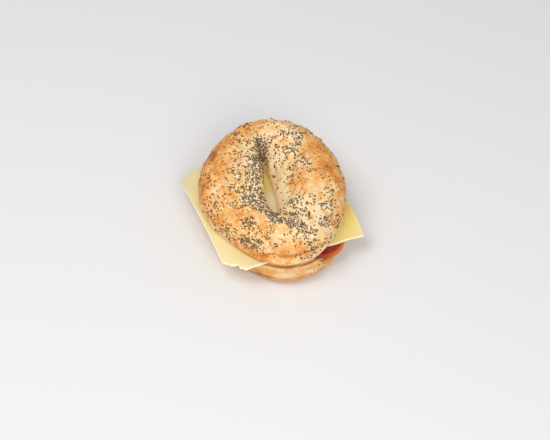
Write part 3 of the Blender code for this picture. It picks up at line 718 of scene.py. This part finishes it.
def seed_material():
    """Dry poppy seeds, each its own shade: brown where they lie alone, greyer in a crowd."""
    material, nodes, links, shader = new_material("poppy_seed")
    shade = attribute(nodes, "shade")
    brown = ramp(nodes, links, shade, LONE_SEED_STOPS)
    grey = ramp(nodes, links, shade, CROWDED_SEED_STOPS)
    colour = mix_colour(nodes, links, attribute(nodes, "crowd"), brown, grey)
    dust = noise(nodes, links, *SEED_GRAIN)
    dusty = math_node(nodes, links, "MULTIPLY", dust, 0.2)
    colour = mix_colour(nodes, links, dusty, colour, linear(SEED_DUST))
    links.new(colour, shader.inputs["Base Color"])
    shader.inputs["Roughness"].default_value = 0.62
    bump(nodes, links, shader, ((dust, 0.00005),))
    return material


def cheese_material():
    """Smooth golden cheese, pale where a sheen is painted on, with painted light and a painted tint of
    bounced light: faintly mottled, soft inside and a little oily.
    """
    material, nodes, links, shader = new_material("cheese")
    cloud = noise(nodes, links, *CHEESE_CLOUDS)
    grain = noise(nodes, links, *CHEESE_GRAIN)
    sheened = ramp(nodes, links, cloud, CHEESE_SHEEN_STOPS)
    golden = ramp(nodes, links, cloud, CHEESE_GOLD_STOPS)
    colour = mix_colour(nodes, links, attribute(nodes, "gold_not_sheen"), sheened, golden)
    colour = mix_colour(nodes, links, attribute(nodes, "painted_bounce"), colour, linear(CHEESE_BOUNCE_TINT))
    colour = mix_colour(nodes, links, attribute(nodes, "painted_light"), colour, linear(CHEESE_PAINTED_LIGHT))
    links.new(colour, shader.inputs["Base Color"])
    sheen = math_node(nodes, links, "MULTIPLY_ADD", grain, 0.2, 0.3)
    links.new(sheen, shader.inputs["Roughness"])
    shader.inputs["Subsurface Weight"].default_value = 0.35
    shader.inputs["Subsurface Radius"].default_value = (1.0, 0.8, 0.35)
    shader.inputs["Subsurface Scale"].default_value = 0.003
    bump(nodes, links, shader, ((cloud, 0.0005), (grain, 0.00004)))
    return material


def tomato_material():
    """Wet tomato: red flesh with paler streaks and an orange skin."""
    material, nodes, links, shader = new_material("tomato")
    out = attribute(nodes, "out")
    streak = noise(nodes, links, *TOMATO_STREAKS)
    flesh = ramp(nodes, links, streak, TOMATO_FLESH_STOPS)
    skin = ramp(nodes, links, streak, TOMATO_SKIN_STOPS)
    edge = ramp(nodes, links, out, TOMATO_EDGE_STOPS)
    skin = mix_colour(nodes, links, attribute(nodes, "red_skin"), skin, linear(TOMATO_RED_SKIN))
    links.new(mix_colour(nodes, links, edge, flesh, skin), shader.inputs["Base Color"])
    shader.inputs["Roughness"].default_value = 0.14
    shader.inputs["Subsurface Weight"].default_value = 0.2
    shader.inputs["Subsurface Radius"].default_value = (1.0, 0.25, 0.1)
    shader.inputs["Subsurface Scale"].default_value = 0.004
    bump(nodes, links, shader, ((streak, 0.0006),))
    return material


def top_toast_and_light(points, normals, angle, bands):
    """How brown the top half's crust is: by place, by height and by which way it faces, with painted shade in
    the fold, under the lip and along the lower edge, and painted light on the hole's walls.
    """
    x, y, z = points[..., 0], points[..., 1], points[..., 2]
    toast_and_painted_light = TOP_TOAST + toast_and_light_bands(x, y, TOP_TOAST_AND_LIGHT_BANDS)
    toast_and_painted_light += SEEDED_TOAST*seed_cover(x, y, bands, SEEDED_WIDEN) + CROWDED_TOAST*seed_cover(x, y, bands)**2
    steep = 1.0 - np.clip(normals[..., 2], 0.0, 1.0)
    rise = z - top_cut(x, y)
    from_hole = np.hypot(x - HOLE_CENTRE[0], WALL_REACH_SQUEEZE*(y - HOLE_CENTRE[1]))
    inside = smooth_step((WALL_REACH - from_hole)/WALL_REACH_FADE)
    outside = 1.0 - inside
    toast_and_painted_light += SIDE_TOAST*steep*outside*smooth_step((rise - SIDE_TOAST_FROM)/HEIGHT_FADE)
    # Painted light: paler steep walls in the hole.
    toast_and_painted_light += WALL_PAINTED_LIGHT*steep*inside
    toast_and_painted_light += WAIST_TOAST*outside*(1.0 - smooth_step((rise - WAIST_TOAST_BELOW)/HEIGHT_FADE))
    from_fold = (np.degrees(angle)[:, None] - FOLD_ANGLE + 180.0) % 360.0 - 180.0
    front = np.exp(-(from_fold/FOLD_SPREAD)**4)*outside
    above_fold = rise - fold_height(angle)[:, None] + FOLD_PAINTED_SHADE_BELOW
    # Painted shade in the fold's groove and under the lip.
    toast_and_painted_light += FOLD_PAINTED_SHADE*front*np.exp(-(above_fold/FOLD_PAINTED_SHADE_WIDTH)**2)
    toast_and_painted_light += LIP_PAINTED_SHADE*front*np.exp(-(rise/LIP_PAINTED_SHADE_HEIGHT)**2)
    toast_and_painted_light += BARE_STRIP_TOAST*outside*bare_strip(x, y, rise)
    # Painted shade along the crust's lower edge.
    toast_and_painted_light += RIM_PAINTED_SHADE*np.exp(-(rise/RIM_PAINTED_SHADE_HEIGHT)**2)
    return toast_and_painted_light + ripples(points, TOP_MOTTLING)


def base_toast_and_light(side):
    """How brown the bottom half's side is: darker at its foot and under its rim, which is painted shade, with
    streaks that run round it.
    """
    x, y, z = side[..., 0], side[..., 1], side[..., 2]
    below_rim = bottom_cut(x, y) - z
    # Painted shade: darker towards the foot.
    toast_and_painted_light = BASE_TOAST + FOOT_PAINTED_SHADE*smooth_step((FOOT_PAINTED_SHADE_BELOW - z)/FOOT_PAINTED_SHADE_FADE)
    # Painted shade just under the rim.
    toast_and_painted_light += BASE_RIM_PAINTED_SHADE*np.exp(-(below_rim/BASE_RIM_PAINTED_SHADE_HEIGHT)**2)
    toast_and_painted_light += BASE_EDGE_PAINTED_SHADE*np.exp(-(below_rim/BASE_EDGE_PAINTED_SHADE_HEIGHT)**2)
    return toast_and_painted_light + toast_and_light_bands(x, y, BASE_TOAST_BANDS) + ripples(side, BASE_STREAKS)


def seed_bands_from_above():
    """The bands of seeds in millimetres, laid where the camera sees them on the top crust."""
    crust = top_crust(ring_angles(720), np.linspace(0.0, 1.0, 300)).reshape(-1, 3) - CAMERA_AIM
    tilt = math.radians(CAMERA_ELEVATION)
    away = CAMERA_DISTANCE + crust[:, 1]*math.cos(tilt) - crust[:, 2]*math.sin(tilt)
    across = PICTURE_WIDTH/2 + FOCAL_PIXELS*crust[:, 0]/away
    down = PICTURE_HEIGHT/2 - FOCAL_PIXELS*(crust[:, 1]*math.sin(tilt) + crust[:, 2]*math.cos(tilt))/away

    def seen(at_across, at_down):
        off = np.hypot(across - at_across, down - at_down)
        near = np.flatnonzero(off < max(SAME_PLACE_PIXELS, off.min() + 0.5))
        place = crust[near[np.argmin(away[near])]] + CAMERA_AIM
        return place[0], place[1]

    return [(*seen(start_across, start_down), *seen(end_across, end_down), half_width/PIXELS_PER_MM, amount)
            for start_across, start_down, end_across, end_down, half_width, amount in SEED_BANDS]


def make_top(material, bands):
    """The top half: a fine crust over the same form, with a crumb cut face."""
    climb_rows, fall_rows, lip_rows = TOP_ROWS
    rows = np.concatenate((np.linspace(0.0, CROWN_AT, climb_rows),
                           np.linspace(CROWN_AT, WAIST_AT, fall_rows)[1:],
                           np.linspace(WAIST_AT, 1.0, lip_rows)[1:]))
    angles = ring_angles(TOP_COLUMNS)
    crust = top_crust(angles, rows)
    face = cut_face(crust[:, -1], crust[:, 0], np.linspace(0.0, 1.0, TOP_CUT_ROWS + 2)[1:-1], top_cut)
    face[:, 1:-1, 2] -= crumb_relief(face[:, 1:-1])
    points = np.concatenate((crust, face), axis=1)
    toast_and_painted_light = np.zeros(points.shape[:2])
    toast_and_painted_light[:, :len(rows)] = top_toast_and_light(crust, grid_normals(crust), angles, bands)
    crumb = np.zeros(points.shape[:2])
    crumb[:, len(rows):] = 1.0
    piece = make_mesh("top_crust", points.reshape(-1, 3), ring_faces(*points.shape[:2]),
                      {"toast_and_painted_light": toast_and_painted_light, "crumb": crumb})
    piece.data.materials.append(material)
    return piece


def make_bottom(material):
    """The bottom half: paler crust, a crumb cut face and the hole's wall."""
    angles = ring_angles(BASE_COLUMNS)
    side = bottom_crust(angles, np.linspace(0.0, 1.0, BASE_ROWS))
    hole_x, hole_y = hole_edge(angles)
    wall_top = np.stack((hole_x, hole_y, bottom_cut(hole_x, hole_y)), axis=1)
    face = cut_face(side[:, -1], wall_top, np.linspace(0.0, 1.0, BASE_CUT_ROWS + 2)[1:-1], bottom_cut)
    face[:, 1:-1, 2] += crumb_relief(face[:, 1:-1])
    down = np.linspace(0.0, 1.0, BASE_WALL_ROWS)[None, :, None]
    wall_foot = np.stack((hole_x, hole_y, np.full_like(hole_x, HOLE_FOOT_ROUNDING)), axis=1)
    wall = wall_top[:, None]*(1.0 - down) + wall_foot[:, None]*down
    foot_x, foot_y = hole_edge(angles, HOLE_FOOT_ROUNDING)
    foot = np.stack((foot_x, foot_y, np.zeros_like(foot_x)), axis=1)[:, None]
    points = np.concatenate((side, face, wall, foot), axis=1)
    toast_and_painted_light = np.full(points.shape[:2], CUT_TOAST)
    toast_and_painted_light[:, :side.shape[1]] = base_toast_and_light(side)
    crumb = np.zeros(points.shape[:2])
    crumb[:, side.shape[1]:side.shape[1] + face.shape[1]] = 1.0
    piece = make_mesh("bottom_crust", points.reshape(-1, 3), ring_faces(*points.shape[:2]),
                      {"toast_and_painted_light": toast_and_painted_light, "crumb": crumb})
    piece.data.materials.append(material)
    return piece


def cheese_points(across, along):
    """Plan position of the cheese's points, with the front corner torn off."""
    turn = math.radians(CHEESE_TURN)
    towards = -(across + along)/math.sqrt(2.0)
    square_edge = CHEESE_SIDE/math.sqrt(2.0) - np.abs(across - along)/math.sqrt(2.0)
    place = (across - along)/math.sqrt(2.0)
    notch_at, notch_half_width, notch_depth = TEAR_NOTCH
    wave_height, wave_length = TEAR_WAVES
    notch = notch_depth*np.exp(-((place - notch_at)/notch_half_width)**2)
    waves = wave_height*np.sin(place*2.0*math.pi/wave_length)
    torn_edge = CHEESE_SIDE/math.sqrt(2.0) - TEAR_DEPTH - notch + waves
    start = torn_edge - TEAR_ZONE
    squeeze = (torn_edge - start)/np.maximum(square_edge - start, 1e-6)
    torn = (towards > start) & (square_edge > torn_edge)
    moved = np.where(torn, start + (towards - start)*squeeze, towards)
    shift = (moved - towards)/math.sqrt(2.0)
    across, along = across - shift, along - shift
    x = CHEESE_CENTRE[0] + across*math.cos(turn) - along*math.sin(turn)
    y = CHEESE_CENTRE[1] + across*math.sin(turn) + along*math.cos(turn)
    return x, y


def cheese_droop(x, y):
    """How far the cheese hangs below its plane past the bagel's rim."""
    angle = np.degrees(np.arctan2(y, x))
    bend = np.zeros_like(x)
    for direction, rate in CHEESE_DROOPS:
        apart = (angle - direction + 180.0) % 360.0 - 180.0
        bend = bend + rate*np.exp(-(apart/DROOP_SPREAD)**2)
    return bend*past_rim(x, y)**2


def make_cheese(material):
    """The slice of cheese: a thin slab with soft edges that bends where it hangs free."""
    half = CHEESE_SIDE/2
    edge = np.array(CHEESE_EDGE_STEPS)
    inner = np.linspace(-half + CHEESE_MARGIN, half - CHEESE_MARGIN, CHEESE_STEPS)
    steps = np.concatenate((-half + edge, inner, half - edge[::-1]))
    across, along = np.meshgrid(steps, steps)
    x, y = cheese_points(across, along)
    droop = cheese_droop(x, y)
    free = past_rim(x, y)
    wave = CHEESE_WAVE*free*np.sin(CHEESE_WAVE_RATE*(x + y))*smooth_step(free/CHEESE_WAVE_FADE)
    z = filling_height(x, y) - droop + wave
    draw_in = 1.0 - droop**2/(2.0*free + 1.0)/np.maximum(np.hypot(x, y), 1.0)
    x, y = x*draw_in, y*draw_in
    inset = np.minimum(half - np.abs(across), half - np.abs(along))
    past_flat = 1.0 - np.clip(inset/CHEESE_EDGE_RADIUS, 0.0, 1.0)
    round_off = CHEESE_EDGE_RADIUS*(1.0 - np.sqrt(1.0 - past_flat**2))
    upper = np.stack((x, y, z + CHEESE_THICKNESS - round_off), axis=2)
    lower = np.stack((x, y, z + round_off), axis=2)
    rows, columns = x.shape
    count = rows*columns
    row, column = np.meshgrid(np.arange(rows - 1), np.arange(columns - 1), indexing="ij")
    corner = (row*columns + column).ravel()
    top_faces = np.stack((corner, corner + 1, corner + columns + 1, corner + columns), axis=1)
    low_faces = top_faces[:, ::-1] + count
    rim = np.array(list(range(columns)) + [r*columns + columns - 1 for r in range(1, rows)]
                   + [(rows - 1)*columns + c for c in range(columns - 2, -1, -1)]
                   + [r*columns for r in range(rows - 2, 0, -1)])
    after = np.roll(rim, -1)
    side_faces = np.stack((after, rim, rim + count, after + count), axis=1)
    points = np.concatenate((upper.reshape(-1, 3), lower.reshape(-1, 3)))
    x, y = points[:, 0], points[:, 1]
    # Painted sheen: the cheese is gold only past its pale left side, and paler again at its tip.
    gold_not_sheen = smooth_step((x - SHEEN_FADES_OUT[0])/SHEEN_FADES_OUT[1])
    gold_not_sheen *= 1.0 - TIP_SHEEN_SHARE*smooth_step((x - TIP_SHEEN_FROM[0])/TIP_SHEEN_FROM[1])
    # Painted bounced light: a yellower tint along a line in the hole, where the cheese lies in shade.
    painted_bounce = np.exp(-(from_line(x, y, *HOLE_BOUNCE_LINE)/HOLE_TINT_HALF_WIDTH)**2)
    # Painted light: paler on the edges, which catch the light, and along a line in the hole.
    painted_light = np.tile(1.0 - smooth_step(inset.ravel()/LIT_EDGE_WIDTH), 2)
    hole_light = np.exp(-(from_line(x, y, *HOLE_LIGHT_LINE)/HOLE_TINT_HALF_WIDTH)**2)
    painted_light = np.maximum(painted_light, HOLE_LIGHT_SHARE*hole_light)
    piece = make_mesh("cheese", points, np.concatenate((top_faces, low_faces, side_faces)),
                      {"gold_not_sheen": gold_not_sheen, "painted_bounce": painted_bounce, "painted_light": painted_light})
    piece.data.materials.append(material)
    return piece


def make_tomato(material):
    """The slice of tomato: a soft rim of skin round wet flesh."""
    skin_from = 1.0 - TOMATO_SKIN
    radii = np.linspace(0.04, skin_from - 0.01, TOMATO_ROWS)
    bend = np.linspace(-math.pi/2, math.pi/2, TOMATO_SKIN_ROWS)
    out = np.concatenate((radii, skin_from + TOMATO_SKIN*np.cos(bend), radii[::-1]))
    up = np.concatenate((np.zeros_like(radii), 0.5 + 0.5*np.sin(bend), np.ones_like(radii)))
    angle, out = np.meshgrid(ring_angles(TOMATO_COLUMNS), out, indexing="ij")
    up = np.broadcast_to(up, out.shape)
    x = TOMATO_CENTRE[0] + TOMATO_RADIUS*out*np.cos(angle)
    y = TOMATO_CENTRE[1] + TOMATO_RADIUS*out*np.sin(angle)
    z = filling_height(x, y) - GAP - TOMATO_THICKNESS*(1.0 - up) - TOMATO_DROOP*past_rim(x, y)**2
    points = np.stack((x, y, z), axis=2)
    inside = smooth_step((radii[-1] - out)/TOMATO_HOLLOW_FADE)
    hollow = TOMATO_HOLLOW*np.abs(ripple(points, TOMATO_HOLLOW_WAVELENGTH, TOMATO_HOLLOW_SEED))
    points[..., 2] += np.where(up > 0.5, -1.0, 1.0)*inside*hollow
    red_skin = 1.0 - smooth_step((x - TOMATO_CENTRE[0] - RED_SKIN_UNTIL[0])/RED_SKIN_UNTIL[1])
    piece = make_mesh("tomato", points.reshape(-1, 3), ring_faces(*out.shape)[:, ::-1],
                      {"out": out, "red_skin": red_skin})
    piece.data.materials.append(material)
    return piece


def seed_shape():
    """One seed of unit size: a slightly bent egg, as points and triangles."""
    segments, rings = SEED_SEGMENTS, SEED_RINGS
    points = [(0.0, 0.0, 0.5)]
    for ring in range(1, rings):
        tilt = math.pi*ring/rings
        for segment in range(segments):
            turn = 2.0*math.pi*segment/segments
            out = 0.5*math.sin(tilt)
            points.append((out*math.cos(turn), out*math.sin(turn), 0.5*math.cos(tilt)))
    points.append((0.0, 0.0, -0.5))
    last = len(points) - 1
    faces = []
    for segment in range(segments):
        following = (segment + 1) % segments
        faces.append((0, 1 + segment, 1 + following))
        faces.append((last, last - segments + following, last - segments + segment))
        for ring in range(rings - 2):
            a, b = 1 + ring*segments + segment, 1 + ring*segments + following
            faces.append((a, a + segments, b + segments))
            faces.append((a, b + segments, b))
    points = np.array(points)
    points[:, 1] += SEED_BEND*points[:, 0]**2 - 0.06
    return points, np.array(faces)


def thin_out(places, order, spacing):
    """Indices, taken in that order, of places that keep the spacing from those already taken."""
    cells = {}
    kept = []
    for index in order:
        key = tuple(np.floor(places[index]/spacing).astype(int))
        near = (other for i in (-1, 0, 1) for j in (-1, 0, 1) for k in (-1, 0, 1)
                for other in cells.get((key[0] + i, key[1] + j, key[2] + k), ()))
        if all(np.sum((places[index] - places[other])**2) > spacing**2 for other in near):
            cells.setdefault(key, []).append(index)
            kept.append(index)
    return kept


def top_seed_places(draw, bands):
    """Places and normals of the seeds on the top half, drawn by how thickly they lie."""
    columns, rows = SEED_GRID
    points = top_crust(ring_angles(columns), np.linspace(*SEED_ROWS, rows))
    normals = grid_normals(points)
    around, along = np.roll(points, -1, axis=0) - points, np.gradient(points, axis=1)
    area = np.linalg.norm(np.cross(around, along), axis=2)
    x, y = points[..., 0], points[..., 1]
    cover = seed_cover(x, y, bands)
    clump = smooth_step(0.5 + 0.5*ripple(points, SEED_CLUMP_WAVELENGTH, SEED_CLUMP_SEED))
    thin = cover*(1.0 - cover)
    level = smooth_step((normals[..., 2] - STRAY_SEEDS_LEVEL)/STRAY_SEEDS_LEVEL_FADE)
    density = SEEDS_PER_MM2*(cover**2 + SEED_CLUMPS*thin*(clump - 0.5)*cover)
    density += STRAY_SEEDS_PER_MM2*(0.5 + clump)*level
    rise = points[..., 2] - top_cut(x, y)
    density *= smooth_step((rise - SEED_LOWEST)/SEED_LOWEST_FADE)*(1.0 - bare_strip(x, y, rise))
    taken = np.flatnonzero(draw.random(x.size) < (density*area).ravel())
    in_cell = draw.uniform(-0.5, 0.5, (2, len(taken), 1))
    places, normals = points.reshape(-1, 3)[taken], normals.reshape(-1, 3)[taken]
    places = places + in_cell[0]*around.reshape(-1, 3)[taken] + in_cell[1]*along.reshape(-1, 3)[taken]
    kept = thin_out(places, draw.permutation(len(places)), SEED_SPACING)
    cover = seed_cover(places[kept, 0], places[kept, 1], bands)
    return places[kept], normals[kept], smooth_step((cover - CROWDED_COVER)/(1.0 - CROWDED_COVER))


def bottom_seed_places():
    """Places and normals of the few seeds on the bottom half."""
    places, normals = [], []
    for angle, height in zip(BASE_SEED_ANGLES, BASE_SEED_HEIGHTS):
        near = bottom_crust(np.radians([angle - 1.0, angle, angle + 1.0]), np.linspace(0.0, 1.0, 41))
        places.append(near[1, round(40*height)])
        normals.append(grid_normals(near)[1, round(40*height)])
    return np.array(places), np.array(normals)


def make_seeds(name, places, normals, crowd, draw, material):
    """Many seeds as one mesh: each laid on the crust, spun, tilted and of its own size and shade."""
    shape, triangles = seed_shape()
    count = len(places)
    up = normals + draw.normal(scale=SEED_TILT, size=normals.shape)
    up /= np.linalg.norm(up, axis=1, keepdims=True)
    side = np.cross(up, draw.normal(size=up.shape))
    side /= np.linalg.norm(side, axis=1, keepdims=True)
    front = np.cross(up, side)
    size = np.array(SEED_SIZE)*draw.uniform(*SEED_SIZE_RANGE, (count, 1))
    size = size*draw.uniform(*SEED_STRETCH_RANGE, (count, 3))
    turn = np.stack((side, front, up), axis=1)
    local = shape[None]*size[:, None, :]
    points = np.einsum("nvi,nij->nvj", local, turn)
    lift = size[:, 2]*(0.5 - SEED_SUNK)
    points += (places + normals*lift[:, None])[:, None, :]
    faces = (triangles[None] + (np.arange(count)*len(shape))[:, None, None]).reshape(-1, 3)
    shade = np.repeat(draw.beta(*SEED_SHADE_SPREAD, count), len(shape))
    piece = make_mesh(name, points.reshape(-1, 3), faces,
                      {"shade": shade, "crowd": np.repeat(crowd, len(shape))})
    piece.data.materials.append(material)
    return piece


def make_floor():
    """A wide plain pale floor."""
    side = FLOOR_HALF_SIDE
    mesh = bpy.data.meshes.new("floor")
    mesh.from_pydata([(-side, -side, 0.0), (side, -side, 0.0), (side, side, 0.0), (-side, side, 0.0)], [],
                     [(0, 1, 2, 3)])
    floor = bpy.data.objects.new("floor", mesh)
    bpy.context.scene.collection.objects.link(floor)
    material, _, _, shader = new_material("floor")
    shader.inputs["Base Color"].default_value = linear(FLOOR_COLOUR)
    shader.inputs["Roughness"].default_value = 0.9
    mesh.materials.append(material)


def add_softbox(name, place, size, power, colour):
    """A square area light that looks at the sandwich."""
    light = bpy.data.lights.new(name, "AREA")
    light.shape = "SQUARE"
    light.size = size
    light.energy = power
    light.color = colour
    lamp = bpy.data.objects.new(name, light)
    lamp.location = place
    lamp.rotation_euler = (Vector(LIGHTS_AIM) - Vector(place)).to_track_quat("-Z", "Y").to_euler()
    bpy.context.scene.collection.objects.link(lamp)


def add_lights():
    """Two softboxes in a white studio."""
    add_softbox(*KEY_LIGHT)
    add_softbox(*FILL_LIGHT)
    world = bpy.data.worlds.new("studio")
    world.use_nodes = True
    world.node_tree.nodes["Background"].inputs["Color"].default_value = (1.0, 1.0, 1.0, 1.0)
    world.node_tree.nodes["Background"].inputs["Strength"].default_value = STUDIO_STRENGTH
    bpy.context.scene.world = world
    bpy.context.scene.view_settings.view_transform = "Standard"


def add_camera():
    """The photograph's view: from the front, about halfway up, through a long lens."""
    camera = bpy.data.cameras.new("camera")
    camera.sensor_width = SENSOR_WIDTH
    camera.lens = FOCAL_PIXELS/PICTURE_WIDTH*SENSOR_WIDTH
    camera.clip_end = 20.0
    view = bpy.data.objects.new("camera", camera)
    tilt = math.radians(CAMERA_ELEVATION)
    back = Vector((0.0, -math.cos(tilt), math.sin(tilt)))*CAMERA_DISTANCE
    view.location = (Vector(CAMERA_AIM) + Vector(SHIFT.tolist()) + back)*MM
    view.rotation_euler = (math.pi/2 - tilt, 0.0, 0.0)
    bpy.context.scene.collection.objects.link(view)
    bpy.context.scene.camera = view


def place_piece(piece, slot, *nodes):
    """Dress the part's one body with a piece, in place of the nodes given."""
    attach(piece, "root")
    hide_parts(*nodes)


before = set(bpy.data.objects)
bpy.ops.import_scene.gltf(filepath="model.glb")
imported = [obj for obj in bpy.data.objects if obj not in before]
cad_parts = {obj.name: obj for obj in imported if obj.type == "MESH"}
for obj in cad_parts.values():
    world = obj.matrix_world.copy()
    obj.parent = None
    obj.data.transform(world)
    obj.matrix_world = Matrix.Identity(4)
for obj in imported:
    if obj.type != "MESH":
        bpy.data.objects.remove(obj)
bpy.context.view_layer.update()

# Shapes are made round the bagel's middle, and the solids' origin is under the middle of the whole
# sandwich: the round tomato gives the way from one to the other.
tomato_low, tomato_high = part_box("tomato_slice")
tomato_middle = (np.array(tomato_low) + np.array(tomato_high))/2/MM
SHIFT = np.array((tomato_middle[0] - TOMATO_CENTRE[0], tomato_middle[1] - TOMATO_CENTRE[1], 0.0))

draw = np.random.default_rng(SEED_DRAW)
bands = seed_bands_from_above()
crust = crust_material("crust", *CRUST_MOTTLING, CRUST_TINTS)
pale_crust = crust_material("pale_crust", *PALE_CRUST_MOTTLING, PALE_CRUST_TINTS_AND_SHADE)
place_piece(make_top(crust, bands), "crust", "bagel_top")
place_piece(make_bottom(pale_crust), "pale_crust", "bagel_bottom")
place_piece(make_cheese(cheese_material()), "cheese", "cheese_slice")
place_piece(make_tomato(tomato_material()), "tomato", "tomato_slice")
top_places, top_normals, top_crowd = top_seed_places(draw, bands)
base_places, base_normals = bottom_seed_places()
places, normals = np.concatenate((top_places, base_places)), np.concatenate((top_normals, base_normals))
crowd = np.concatenate((top_crowd, np.zeros(len(base_places))))
seeds = make_seeds("poppy_seeds", places, normals, crowd, draw, seed_material())
place_piece(seeds, "poppy_seed", "bagel_top", "bagel_bottom")
make_floor()
add_lights()
add_camera()
